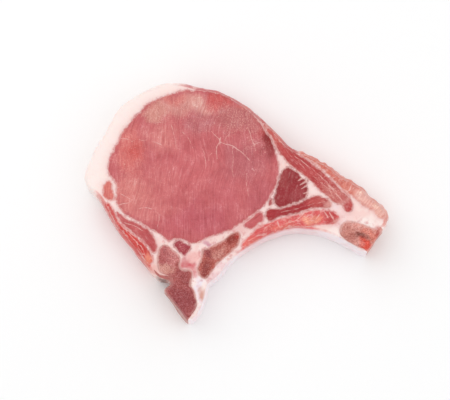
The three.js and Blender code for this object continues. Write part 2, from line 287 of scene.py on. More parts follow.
FAT = {
    "colour": (251, 233, 228),
    "patches": [
        ((-21, -28), (6, 5), 0.9, (234, 160, 156)),
        ((-26, -31), (4, 3), 0.95, (202, 84, 92)),
        ((-22, -34), (4, 3), 0.75, (214, 118, 122)),
        ((-26.8, -27.8), (1.6, 1.4), 0.9, (188, 40, 64)),
        ((-22.6, -31.6), (1.3, 1.2), 0.9, (204, 50, 70)),
        ((-36, -37), (5, 3), 0.7, (224, 160, 144)),
        # A dark brown strip at the foot of the notch under the vertebra: bone brown, partly real,
        # darkened with painted shade of the notch's wall.
        ((-37, -38.6), (5, 1.6), 0.95, (110, 64, 56)),
        ((-41, -34), (4, 4), 0.7, (226, 152, 138)),
        ((-45, -30), (5, 4), 0.6, (232, 178, 170)),
        ((-39, -21), (3, 4), 0.5, (238, 198, 194)),
        ((-33, -20), (4, 2), 0.5, (236, 190, 186)),
        ((-18.5, -43), (3, 9), 0.95, (241, 226, 235)),
        ((-15.5, -47), (2, 3), 0.8, (206, 136, 112)),
        ((-19, -56), (4, 3), 0.7, (240, 208, 206)),
        ((-12, -38), (3, 6), 0.7, (226, 176, 184)),
        ((2, -26), (8, 2), 0.5, (224, 150, 148)),
        ((-9, -19), (7, 3), 0.6, (236, 194, 188)),
        ((0, -13), (6, 3), 0.75, (226, 166, 164)),
        ((-9, -32), (5, 5), 0.6, (234, 190, 196)),
        ((-14, -21), (4, 1.5), 0.8, (198, 124, 148)),
        ((7, -10), (8, 6), 0.5, (236, 192, 188)),
        ((33, -3), (18, 2), 0.4, (232, 184, 180)),
        ((46, -12), (7, 2.5), 0.6, (240, 196, 188)),
        ((66, -19), (5, 5), 0.7, (230, 128, 104)),
        ((70, -15), (3, 4), 0.9, (196, 66, 56)),
        ((60, -6), (10, 3), 0.6, (244, 198, 192)),
        ((2, 54), (13, 4), 0.7, (228, 160, 138)),
        ((19, 38), (7, 9), 0.5, (232, 178, 160)),
        ((24, 20), (6, 8), 0.5, (242, 206, 202)),
        ((42, 6), (6, 5), 0.4, (242, 206, 202)),
        ((52, -8), (6, 7), 0.6, (238, 208, 212)),
        ((50, -2), (3, 3), 0.6, (238, 222, 232)),
        ((58, -3), (10, 6), 0.5, (248, 212, 206)),
    ],
}
SEAM = (236, 192, 188)
MEMBRANE = (252, 241, 246)
MEMBRANE_PINK = (242, 210, 216)
MEMBRANE_LILAC = (232, 220, 238)
MEMBRANE_LIGHT = (255, 248, 250)

# Fat in and beside the lean
STREAK_FAT = (242, 194, 188)
FLECK_FAT = (230, 170, 160)
EDGE_FAT = (236, 188, 182)
VEIN_FAT = (240, 196, 188)

# Tints of the web and the bones
WARM_FAT = (252, 228, 222)
PINK_FAT = (238, 190, 184)
BLOODY_FAT = (206, 108, 110)
FAT_BY_BONE = (246, 222, 214)
BONE_SEAM = (218, 142, 136)
WALL_STREAK = (244, 214, 208)
SAWN_WALL = (204, 146, 130)
MARROW = (112, 46, 44)
SPONGE_FAT = (206, 152, 148)
RIND = (236, 190, 182)

# Marbling that stands out, and the fat between bundles: half its width, and its route.
VEINS = [
    (0.12, [(-7.8, 33), (-8.5, 30.8), (-9.8, 27.8), (-10, 25.3), (-9.8, 21.8)]),
    (0.14, [(-8.6, 31), (-5.8, 29.8), (-3.3, 28.8), (-0.3, 27.8), (1.8, 26), (4.3, 23.8), (6.8, 21)]),
    (0, [(-1.8, 27.3), (-1.5, 21.3), (-2, 17.3), (-1.5, 13.3)]),
    (0.08, [(5.8, 38), (6.8, 35.3), (7.5, 31.8), (9, 28.8), (9.8, 26.3)]),
    (0.05, [(8.6, 29.4), (11.8, 30)]),
    (0.08, [(7.8, 17.3), (8.8, 16), (9.8, 16.8)]),
    (0.04, [(-12.3, 36.3), (-8.8, 32.3), (-8, 29)]),
    (-0.04, [(-27, 36), (-23.3, 30.8), (-22, 27)]),
    (0, [(5.3, 14.8), (4.8, 10.3), (6.2, 3)]),
    (0.08, [(-42, 30.8), (-40.8, 30.3), (-37.3, 28.8)]),
    (0.06, [(-48.5, -3.3), (-45, -2.7), (-42.3, -3.3)]),
    (0, [(-38.8, -5.3), (-39.3, -12.8)]),
    (0.08, [(-52.6, 0.6), (-54.3, -0.3), (-59.3, -1.3)]),
    (0.06, [(-57.8, 4), (-53.3, 1.8)]),
    (0.06, [(-49, 32), (-47.8, 31.4), (-45, 32)]),
    (0.04, [(-61, 33), (-56, 32.4), (-52, 31)]),
    (0.08, [(-39, 41), (-37.9, 40.2)]),
    (0.08, [(-57, 20.3), (-55.9, 19.4)]),
    (-0.06, [(-33, 40), (-31, 34), (-30.6, 28)]),
    (0, [(-17, 27), (-15.4, 22), (-15.6, 17)]),
    (0.02, [(-12, 25), (-13.6, 23.6), (-14, 21)]),
    (-0.02, [(-3, 35), (-5.2, 32.6), (-6, 30)]),
    (0.1, [(-56.3, -9.8), (-53.3, -10.9), (-50.3, -12.2), (-46.3, -14.3)]),
    (0.14, [(-57.5, -14), (-54.5, -17), (-53.5, -20.5)]),
    (0.05, [(-55, -14.5), (-50, -20), (-47, -26)]),
    (0.05, [(-51, -18.5), (-47.5, -22), (-45, -27.5)]),
    (0.14, [(13.3, -14.8), (15.8, -11.8), (17.8, -10.3)]),
    (0.3, [(20.5, -9.6), (21.4, -12.4)]),
    (0.2, [(21.4, -12.4), (23.3, -11.8)]),
    (0.12, [(24.3, -10.8), (29.3, -9.3), (32.8, -6.8), (33.5, -4.3)]),
    (0.24, [(34.3, -7.8), (36, -6.4), (38.3, -6.3)]),
    (0.16, [(40, -8), (42.3, -5.8)]),
    (0.3, [(44, -4.6), (45.8, -8)]),
    (0.34, [(46.6, -4.8), (48.4, -8.6)]),
    (0, [(6, -19.4), (10, -16.8), (14, -16.2)]),
    (0.06, [(29.3, 23.8), (37.3, 17.3), (44.3, 11.3), (50.3, 5.3)]),
    (-0.06, [(23.3, 28.8), (27.3, 23.3), (34.3, 17.3)]),
    (-0.02, [(38.3, 13.3), (46.3, 6.3), (48.8, 2.3)]),
    (0.14, [(46, 8.5), (49, 5.2), (53, 0.4)]),
    (0.1, [(54.3, 3.3), (56.3, 6.3), (57.8, 9.8)]),
    (0.1, [(59.3, -0.3), (61.8, 3.3), (63.3, 6.3)]),
    (0.1, [(64.3, -4.8), (67.3, -1.3), (68.8, 1.8)]),
    (0.08, [(69.3, -9.8), (72.3, -6.8), (74.8, -2.8)]),
    (0.06, [(47, 12), (50, 13.4), (53, 11.6)]),
    (0.4, [(33.5, 13), (31, 10.8)]),
    (0.4, [(35.2, 11.3), (31.8, 8.6)]),
    (0.36, [(36.5, 9.4), (32.6, 6.8)]),
    (0.3, [(36.2, 5.6), (33.6, 4.6)]),
    (-0.08, [(22.5, -4.8), (30, -3.2), (38, -0.6), (44, 0.4)]),
]
VEIN_STEP = 0.5  # between the points along a vein
VEIN_LEAST = 3  # points
VEIN_TIP = 0.2  # of its full width, at a vein's ends
VEIN_BEND = 0.22
VEIN_DRIFT = (3.2, 71)  # size and seed


def in_batches(work, points, size=1500):
    """The results of a function on a long array of points, a few points at a time."""
    return np.concatenate([work(points[i:i + size]) for i in range(0, len(points), size)])


def gaps(points, others):
    """How far each point is from each of the others."""
    return np.linalg.norm(points[:, None] - others, axis=2)


def distance(points, starts, ends):
    """How far each point is from the nearest of the lines from starts to ends."""
    along = ends - starts
    length = np.maximum((along**2).sum(axis=1), TINY)

    def nearest(batch):
        offset = batch[:, None] - starts
        share = np.clip((offset * along).sum(axis=2) / length, 0, 1)
        return np.linalg.norm(offset - share[..., None] * along, axis=2).min(axis=1)

    return in_batches(nearest, points)


def distance_to_loops(points, loops):
    """How far each point is from the nearest of the loops."""
    ends = [np.roll(loop, -1, axis=0) for loop in loops]
    return distance(points, np.concatenate(loops), np.concatenate(ends))


def inside(points, loop):
    """Which points lie within a closed loop."""
    starts, ends = loop, np.roll(loop, -1, axis=0)
    rise = ends[:, 1] - starts[:, 1]
    slope = (ends[:, 0] - starts[:, 0]) / np.where(rise == 0, TINY, rise)

    def counted(batch):
        x, y = batch[:, 0, None], batch[:, 1, None]
        spans = (starts[:, 1] > y) != (ends[:, 1] > y)
        left_of = x < starts[:, 0] + slope * (y - starts[:, 1])
        return (spans & left_of).sum(axis=1) % 2 == 1

    return in_batches(counted, points)


def ripples(points, size, seed):
    """A smooth random value, mostly from -1 to 1, with bumps of about that size in mm."""
    draw = np.random.default_rng(seed)
    heading = draw.normal(size=(WAVES_EACH, points.shape[1]))
    heading /= np.linalg.norm(heading, axis=1, keepdims=True)
    lengths = size * draw.uniform(*WAVE_LENGTHS, WAVES_EACH)
    waves = heading * (2 * math.pi / lengths)[:, None]
    phases = draw.uniform(0, 2 * math.pi, WAVES_EACH)
    return np.cos(points @ waves.T + phases).sum(axis=1) / math.sqrt(WAVES_EACH)


def waver(points, waves, start=0.0):
    """The sum of some waves at each point, on top of a start value."""
    return sum((height * ripples(points, size, seed) for height, size, seed in waves), start)


def wandering(points, size, seed):
    """A smooth random step in plan for each point."""
    return np.stack([ripples(points, size, seed), ripples(points, size, seed + 1)], axis=1)


def section(node, height):
    """The outlines of a CAD node cut level at that height, the longest first, anticlockwise."""
    cut = bmesh.new()
    cut.from_mesh(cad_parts[node].data)
    bmesh.ops.remove_doubles(cut, verts=cut.verts, dist=WELD)
    bmesh.ops.bisect_plane(
        cut,
        geom=cut.verts[:] + cut.edges[:] + cut.faces[:],
        plane_co=(0, 0, height * MM),
        plane_no=(0, 0, 1),
        clear_inner=True,
        clear_outer=True,
    )
    left = set(cut.verts)
    loops = []
    while left:
        loop = [left.pop()]
        ahead = loop
        while ahead:
            ahead = [e.other_vert(loop[-1]) for e in loop[-1].link_edges]
            ahead = [v for v in ahead if v in left][:1]
            loop += ahead
            left -= set(ahead)
        loops.append(anticlockwise(np.array([v.co.xy for v in loop]) / MM))
    cut.free()
    return sorted(loops, key=lambda loop: -np.ptp(loop, axis=0).sum())


def anticlockwise(loop):
    """The loop taken anticlockwise from its leftmost point, alike in each run."""
    ahead = np.roll(loop, -1, axis=0)
    area = (loop[:, 0] * ahead[:, 1] - loop[:, 1] * ahead[:, 0]).sum()
    loop = loop if area > 0 else loop[::-1]
    leftmost = np.lexsort((loop[:, 1], loop[:, 0]))[0]
    return np.roll(loop, -leftmost, axis=0)


def outward(loop):
    """The outward direction at each point of an anticlockwise loop."""
    along = np.roll(loop, -1, axis=0) - np.roll(loop, 1, axis=0)
    along /= np.linalg.norm(along, axis=1, keepdims=True)
    return np.stack([along[:, 1], -along[:, 0]], axis=1)


def travelled(line):
    """How far along a line each of its points lies."""
    steps = np.linalg.norm(np.diff(line, axis=0), axis=1)
    return np.concatenate([[0], np.cumsum(steps)])


def points_along(line, places):
    """The points that lie those distances along a line."""
    return np.stack([np.interp(places, travelled(line), line[:, k]) for k in range(2)], axis=1)


def smoothed(loop):
    """The loop with its corners cut twice, and points at an even pitch."""
    for _ in range(2):
        ahead = np.roll(loop, -1, axis=0)
        near, far = 1 - CORNER_CUT, CORNER_CUT
        loop = np.stack([near * loop + far * ahead, far * loop + near * ahead], axis=1)
        loop = loop.reshape(-1, 2)
    closed = np.vstack([loop, loop[:1]])
    length = travelled(closed)[-1]
    return points_along(closed, np.linspace(0, length, round(length / PITCH), endpoint=False))


def outline(node):
    """The smooth outline of a CAD node at mid height."""
    return smoothed(section(node, MID_HEIGHT)[0])


def evened(values, times):
    """Values round a loop, each averaged with its two neighbours that many times."""
    for _ in range(times):
        values = (np.roll(values, 1) + values + np.roll(values, -1)) / 3
    return values


def piece_outlines(nodes, outside):
    """The outlines of the muscles and bones, grown across most of the seams and made uneven."""
    bare = {node: outline(node) for node in nodes}
    grown = {}
    for node, loop in bare.items():
        others = [other for name, other in bare.items() if name != node]
        to_rim = distance_to_loops(loop, [outside]) - RIM_KEPT
        room = np.minimum(distance_to_loops(loop, others), to_rim) * SEAM_SHARE
        most = MUSCLE_GROWTH if node in LEAN else BONE_GROWTH
        growth = evened(np.clip(room - SEAM_KEPT, LEAST_GROWTH, most), times=2)
        growth = np.minimum(growth * waver(loop, GROWTH_WAVES, MEAN_GROWTH), room)
        grown[node] = smoothed(loop + outward(loop) * growth[:, None])
    return grown


def grid_points(low, high):
    """Points in staggered rows, each a little off its place."""
    draw = np.random.default_rng(GRID_SEED)
    rows = np.arange(low[1], high[1], PITCH * math.sqrt(3) / 2)
    columns = np.arange(low[0], high[0], PITCH)
    x, y = np.meshgrid(columns, rows)
    x[::2] += PITCH / 2
    grid = np.stack([x.ravel(), y.ravel()], axis=1)
    return grid + draw.uniform(-GRID_SHIFT, GRID_SHIFT, grid.shape) * PITCH


def filled(loops, extra=None):
    """Points and triangles that fill the first loop outside the others. The loops come first.

    extra are points to add within it, such as those along a vein.
    """
    outer, holes = loops[0], loops[1:]

    def within(points):
        kept = inside(points, outer)
        for hole in holes:
            kept &= ~inside(points, hole)
        return kept

    grid = grid_points(outer.min(axis=0), outer.max(axis=0))
    grid = grid[within(grid)]
    if extra is not None:
        cells = np.round(extra / (VEIN_CELL * PITCH))
        extra = extra[np.unique(cells, axis=0, return_index=True)[1]]
        extra = extra[within(extra)]
        if len(extra):
            room = in_batches(lambda batch: gaps(batch, extra).min(axis=1), grid)
            grid = np.concatenate([grid[room > VEIN_ROOM * PITCH], extra])
    grid = grid[distance_to_loops(grid, loops) > EDGE_ROOM * PITCH]
    points = np.concatenate([*loops, grid])
    edges = []
    start = 0
    for loop in loops:
        edges += [(start + i, start + (i + 1) % len(loop)) for i in range(len(loop))]
        start += len(loop)
    corners, _, faces, *_ = delaunay_2d_cdt([Vector(p) for p in points], edges, [], 0, TOUCHING)
    corners = np.array([tuple(corner) for corner in corners])
    triangles = np.array([face for face in faces if len(face) == 3])
    triangles = triangles[within(corners[triangles].mean(axis=1))]
    if len(corners) != len(points):
        raise ValueError("an outline crosses itself or another")
    return corners, triangles


def risen(distance_in, height, reach):
    """A rise from nothing at the seam to a height, most of it within the reach."""
    return height * (1 - np.exp(-distance_in / reach))


def quarter_round(share):
    """How far a rounded edge has dropped, from 0 to 1."""
    return 1 - np.sqrt(1 - share**2)


class Chop:
    """The outside of the chop in plan, and the two faces that follow from it."""

    def __init__(self):
        bare = outline("fat_web")
        top_rim = section("fat_web", SEAM_HEIGHT)[0]
        roll = evened(distance_to_loops(bare, [top_rim]), times=3)
        whole = np.clip(roll - LEAST_ROLL, 0, LUMPY_ROLL) / LUMPY_ROLL
        self.roll = np.maximum(roll, LEAST_ROLL)
        self.outside = bare + outward(bare) * (self.lumps(bare) * whole)[:, None]
        self.ring = self.outside - outward(self.outside) * RING_INSET

    def lumps(self, points):
        """How far the outer edge stands out, most along the belly."""
        to_belly = distance_to_loops(points, [outline("belly_muscle")])
        by_belly = np.clip((BELLY_FAR - to_belly) / (BELLY_FAR - BELLY_NEAR), 0, 1)
        lumps = waver(points, EDGE_WAVES, EDGE_LUMP)
        lumps += by_belly * waver(points, BELLY_WAVES, BELLY_LUMP)
        return np.clip(lumps, 0, MOST_LUMP)

    def at_nearest(self, values, points):
        """For each point, the value at the nearest point of the outside."""
        return in_batches(lambda batch: values[gaps(batch, self.outside).argmin(axis=1)], points)

    def edge_drop(self, points, share=1.0):
        """How far down the roll of the outer edge is at each point, from 0 to 1."""
        roll = np.maximum(self.at_nearest(self.roll, points) * share, LEAST_ROLL)
        gap = distance_to_loops(points, [self.outside])
        return quarter_round(np.clip(1 - gap / roll, 0, 1))

    def upper(self, points, rise):
        """The upper face: seams, what rises over them, a slow swell, and the rolled edge."""
        swell = waver(points, SWELL_WAVES) - SWELL_DROP
        return SEAM_HEIGHT + rise + swell - ROLL_DEPTH * self.edge_drop(points)

    def lower(self, points, seam_gap):
        """The lower face: flat, with grooves at the seams and a rolled edge."""
        groove = SEAM_GROOVE * np.exp(-seam_gap / GROOVE_REACH)
        return groove + FOOT_DEPTH * self.edge_drop(points, FOOT_SHARE)


chop = Chop()
outlines = piece_outlines([*LEAN, *BONE], chop.outside)
lean_loops = [outlines[node] for node in LEAN]
bone_loops = [outlines[node] for node in BONE]


def linear(colour):
    """An sRGB colour from 0 to 255 as linear values."""
    share = np.array(colour) / 255
    return np.where(share <= 0.04045, share / 12.92, ((share + 0.055) / 1.055) ** 2.4)


def drifted(points):
    """The points in the plan of the patches, moved a little for uneven edges."""
    drift = wandering(points, *BROAD_DRIFT) + FINE_SHARE * wandering(points, *FINE_DRIFT)
    return points + DRIFT * drift - PLAN_ORIGIN


def patch_weight(spots, middle, reach):
    """1 in the middle of a patch and 0 beyond its reach."""
    far = np.linalg.norm((spots - middle) / reach, axis=1)
    share = np.clip((PATCH_END - far) / PATCH_FADE, 0, 1)
    return share**2 * (3 - 2 * share)


def painted(points, look):
    """The broad colour at each point: the piece's own under soft patches."""
    spots = drifted(points)
    paint = np.tile(linear(look["colour"]), (len(points), 1))
    for middle, reach, strength, shade in look.get("patches", []):
        weight = strength * patch_weight(spots, middle, reach)[:, None]
        paint = paint * (1 - weight) + linear(shade) * weight
    return paint


def flecked(points, patches):
    """How thickly pale flecks lie at each point, from 0 to 1."""
    spots = drifted(points)
    thick = np.full(len(points), LEAST_FLECKS)
    for middle, reach, strength in patches:
        thick = np.maximum(thick, strength * patch_weight(spots, middle, reach))
    return thick


def vein_points():
    """Points along every vein, a little off its route, with half the vein's width at each."""
    places, widths = [], []
    for half_width, route in VEINS:
        route = np.array(route) + PLAN_ORIGIN
        length = travelled(route)[-1]
        along = np.linspace(0, length, max(VEIN_LEAST, round(length / VEIN_STEP)))
        line = points_along(route, along)
        places.append(line + VEIN_BEND * wandering(line, *VEIN_DRIFT))
        swelling = np.sin(math.pi * along / length)
        widths.append(half_width * (VEIN_TIP + (1 - VEIN_TIP) * swelling))
    return np.concatenate(places), np.concatenate(widths)


vein_places, vein_widths = vein_points()


def vein_depth(points):
    """How far each point is from the edge of a vein, less than nothing within one."""
    return in_batches(lambda batch: (gaps(batch, vein_places) - vein_widths).min(axis=1), points)


def grain_places(points, degrees):
    """Each point's place across and along the fibres, which bend a little."""
    turn = math.radians(degrees)
    along = np.array([math.cos(turn), math.sin(turn)])
    across = np.array([math.sin(turn), -math.cos(turn)])
    bend = waver(points, GRAIN_WAVES)
    return np.stack([points @ across + bend, points @ along], axis=1)


def solid_mesh(name, plan, triangles, loops, tops, bottoms, rim_rows=()):
    """A closed mesh: the plan at its upper and lower heights, with walls between their edges.

    rim_rows are the rows of points of the outer wall, from the top down, where it isn't plain.
    """
    count = len(plan)
    upper = np.column_stack([plan, tops])
    lower = np.column_stack([plan, bottoms])
    points = np.concatenate([upper, lower, *rim_rows])
    faces = triangles.tolist() + (triangles[:, ::-1] + count).tolist()
    start = 0
    for order, loop in enumerate(loops):
        length = len(loop)
        levels = [np.arange(length) + start]
        if order == 0:
            levels += [2 * count + np.arange(length) + i * length for i in range(len(rim_rows))]
        levels.append(np.arange(length) + start + count)
        for above, below in zip(levels, levels[1:]):
            wall = np.column_stack([above, below, np.roll(below, -1), np.roll(above, -1)])
            faces += (wall if order == 0 else wall[:, ::-1]).tolist()
        start += length
    mesh = bpy.data.meshes.new(name)
    mesh.from_pydata((points * MM).tolist(), [], faces)
    mesh.shade_smooth()
    mesh.set_sharp_from_angle(angle=SHARP_ANGLE)
    return mesh, points


def give_values(mesh, **columns):
    """Stores a number or a vector for each point of the mesh, under the names given."""
    for name, values in columns.items():
        if values.ndim == 1:
            store = mesh.attributes.new(name, "FLOAT", "POINT")
            store.data.foreach_set("value", values.astype(np.float32))
        else:
            padded = np.zeros((len(values), 3), np.float32)
            padded[:, :values.shape[1]] = values
            store = mesh.attributes.new(name, "FLOAT_VECTOR", "POINT")
            store.data.foreach_set("vector", padded.ravel())


def added(name, data):
    """A new object in the scene."""
    made = bpy.data.objects.new(name, data)
    bpy.context.scene.collection.objects.link(made)
    return made


def place(mesh, node, material, slot):
    """Puts a piece in the scene in place of its CAD node."""
    piece = added(mesh.name, mesh)
    mesh.materials.append(material)
    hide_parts(node)
    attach(piece, "root")


def plug_mesh(name, loop, rise, extra=None):
    """A closed mesh within a loop, with each point's place in plan and distance to the edge.

    rise takes the plan and those distances, and gives the heights over the seams.
    """
    plan, triangles = filled([loop], extra)
    edge = distance_to_loops(plan, [loop])
    tops = chop.upper(plan, rise(plan, edge))
    bottoms = chop.lower(plan, edge)
    mesh, points = solid_mesh(name, plan, triangles, [loop], tops, bottoms)
    return mesh, points[:, :2], np.tile(edge, 2)


def make_lean(node, look, material):
    """A muscle: crowned a little, rolled down at its seam, with fibres and marbling."""

    def crowned(plan, edge):
        return risen(edge, *CROWN) + risen(edge, look.get("dome", 0), DOME_REACH)

    mesh, places, edge = plug_mesh(f"{node}_meat", outlines[node], crowned, vein_places)
    give_values(
        mesh,
        tone=painted(places, look),
        edge=edge,
        vein=vein_depth(places),
        flecks=flecked(places, look.get("flecks", [])),
        streaky=np.full(len(places), look.get("streaky", 0.0)),
        grain=grain_places(places, look["grain"]),
    )
    place(mesh, node, material, "lean")


def make_bone(node, look, material):
    """A sawn bone: flat, with a rim of hard bone round its marrow."""

    def dished(plan, edge):
        return risen(edge, *BONE_STEP) - risen(edge, *BONE_DISH) + waver(plan, PIT_WAVES)

    mesh, places, edge = plug_mesh(f"{node}_bone", outlines[node], dished)
    give_values(
        mesh,
        tone=painted(places, look),
        edge=edge,
        rim=distance_to_loops(places, [chop.outside]),
    )
    place(mesh, node, material, "bone")


def wall_row(inset, height, level):
    """A row of the outer wall, pushed in and out. level is 0 at its foot and 1 at its top."""
    facing = outward(chop.outside)
    row = np.column_stack([chop.outside - facing * inset[:, None], height])
    push = waver(row, WALL_WAVES) * np.sin(math.pi * np.clip(level, 0, 1))
    row[:, :2] += facing * push[:, None]
    return row


def rim_rows(tops, bottoms):
    """The rows of the outer wall below its upper ring and above its lower one, from the top."""
    foot = np.maximum(chop.roll * FOOT_SHARE, LEAST_ROLL)
    upper_start = quarter_round(1 - RING_INSET / chop.roll)
    lower_start = quarter_round(1 - RING_INSET / foot)
    crest = tops + ROLL_DEPTH * upper_start
    sole = bottoms - FOOT_DEPTH * lower_start
    shoulder, ankle = crest - ROLL_DEPTH, sole + FOOT_DEPTH
    rows = []
    for share in SHOULDER_SHARES:
        down = upper_start + (1 - upper_start) * share
        rows.append((chop.roll * quarter_round(1 - down), crest - ROLL_DEPTH * down))
    for share in np.linspace(0, 1, WALL_ROWS + 2)[1:-1]:
        rows.append((np.zeros(len(foot)), shoulder + (ankle - shoulder) * share))
    for share in ANKLE_SHARES:
        down = lower_start + (1 - lower_start) * share
        rows.append((foot * quarter_round(1 - down), sole + FOOT_DEPTH * down))
    return [wall_row(inset, height, (height - sole) / (crest - sole)) for inset, height in rows]


def hollow_side(points):
    """1 where the nearest outside is the hollow under the ribs, from the backbone's tip to the
    lower corner of the sawn rib, and 0 elsewhere."""
    outside = chop.outside
    tip = outside[:, 1].argmin()
    corner = (outside[:, 0] - outside[:, 1]).argmax()
    under = np.zeros(len(outside))
    under[(tip + np.arange((corner - tip) % len(outside))) % len(outside)] = 1
    return chop.at_nearest(under, points)


def nearest_piece(points, looks):
    """How far each point is from the nearest of the pieces, and that piece's colour there."""
    away = np.array([distance_to_loops(points, [outlines[node]]) for node in looks])
    nearest = away.argmin(axis=0)
    tones = np.zeros((len(points), 3))
    for order, look in enumerate(looks.values()):
        chosen = nearest == order
        tones[chosen] = painted(points[chosen], look)
    return away.min(axis=0), tones


def make_fat(material):
    """The web of fat and connective tissue, with the outer wall of the chop."""
    loops = [chop.ring, *lean_loops, *bone_loops]
    plan, triangles = filled(loops)
    gap = distance_to_loops(plan, lean_loops + bone_loops)
    tops = chop.upper(plan, risen(gap, *FAT_SWELL))
    bottoms = chop.lower(plan, gap)
    ring = slice(0, len(chop.ring))
    rows = rim_rows(tops[ring], bottoms[ring])
    mesh, points = solid_mesh("chop_fat", plan, triangles, loops, tops, bottoms, rows)
    places = points[:, :2]
    side = np.zeros(len(points))
    side[2 * len(plan):] = 1
    near_lean, lean_tone = nearest_piece(places, LEAN)
    near_bone, bone_tone = nearest_piece(places, BONE)
    give_values(
        mesh,
        tone=painted(places, FAT),
        near_lean=near_lean,
        lean_tone=lean_tone,
        near_bone=near_bone,
        bone_tone=bone_tone,
        rim=distance_to_loops(places, [chop.outside]),
        side=side,
        hollow=hollow_side(places),
    )
    place(mesh, "fat_web", material, "fat")


def as_paint(colour):
    """An sRGB colour of three numbers as linear values. Anything else is left as it is."""
    return (*linear(colour), 1) if isinstance(colour, tuple) and len(colour) == 3 else colour


class Recipe:
    """A material's nodes, added and joined by short calls."""

    def __init__(self, name):
        self.material = bpy.data.materials.new(name)
        self.material.use_nodes = True
        self.tree = self.material.node_tree
        self.shader = self.tree.nodes["Principled BSDF"]

    def add(self, kind, output=0, settings=(), **inputs):
        """A node with its settings and inputs, which are numbers or other nodes' outputs."""
        node = self.tree.nodes.new(kind)
        for name, value in dict(settings).items():
            setattr(node, name, value)
        for name, value in inputs.items():
            socket = node.inputs[int(name[1:]) if name[1:].isdigit() else name]
            self.feed(socket, value)
        return node.outputs[output]

    def feed(self, socket, value):
        """Joins another node's output to a socket, or sets the socket's own value."""
        if isinstance(value, bpy.types.NodeSocket):
            self.tree.links.new(value, socket)
        else:
            socket.default_value = value

    def stored(self, name, output="Fac"):
        """What the mesh stores under that name."""
        return self.add("ShaderNodeAttribute", output, {"attribute_name": name})

    def math(self, operation, a, b=0.0):
        return self.add("ShaderNodeMath", 0, {"operation": operation}, i0=a, i1=b)

    def times(self, a, b):
        return self.math("MULTIPLY", a, b)

    def plus(self, a, b):
        return self.math("ADD", a, b)

    def spread(self, pattern, width):
        """A pattern about 0.5 as one about 0, so many times as wide."""
        return self.times(self.math("SUBTRACT", pattern, 0.5), width)

    def step(self, value, start, end, low=0.0, high=1.0):
        """A smooth step from low at start to high at end."""
        settings = {"interpolation_type": "SMOOTHSTEP"}
        return self.add(
            "ShaderNodeMapRange", 0, settings, i0=value, i1=start, i2=end, i3=low, i4=high
        )

    def mix(self, amount, a, b, blend="MIX"):
        """Two colours mixed by an amount from 0 to 1."""
        settings = {"data_type": "RGBA", "blend_type": blend}
        colours = [as_paint(c) for c in (a, b)]
        return self.add("ShaderNodeMix", 2, settings, i0=amount, i6=colours[0], i7=colours[1])

    def laid(self, colour, layers):
        """The colour with others laid over it. A layer is its amount and its colour."""
        for amount, paint in layers:
            colour = self.mix(amount, colour, paint)
        return colour

    def washed(self, colour, washes):
        """The colour multiplied by tints.

        A wash is a pattern, where its step starts and ends, how strong it gets, and its tint.
        """
        for pattern, start, end, strength, tint in washes:
            amount = self.step(pattern, start, end, 0.0, strength)
            colour = self.mix(amount, colour, (*tint, 1), "MULTIPLY")
        return colour

    def scaled(self, vector, factors):
        return self.add(
            "ShaderNodeVectorMath", 0, {"operation": "MULTIPLY"}, i0=vector, i1=factors
        )

    def noise(self, vector, scale, detail=3.0, rough=0.55):
        """A random pattern about 0.5. A larger scale makes it finer."""
        return self.add(
            "ShaderNodeTexNoise", 0, Vector=vector, Scale=scale, Detail=detail, Roughness=rough
        )

    def place(self):
        """The place in millimetres."""
        coordinates = self.add("ShaderNodeTexCoord", "Object")
        return self.scaled(coordinates, (1 / MM, 1 / MM, 1 / MM))

    def finish(self, colour, roughness, height, depth, **fixed):
        """Joins colour, roughness and relief to the shader, and sets its uniform values."""
        self.feed(self.shader.inputs["Base Color"], colour)
        self.feed(self.shader.inputs["Roughness"], roughness)
        normal = self.add("ShaderNodeBump", "Normal", Height=height, Strength=1.0, Distance=depth)
        self.feed(self.shader.inputs["Normal"], normal)
        for name, value in fixed.items():
            self.shader.inputs[name.replace("_", " ")].default_value = value
        return self.material


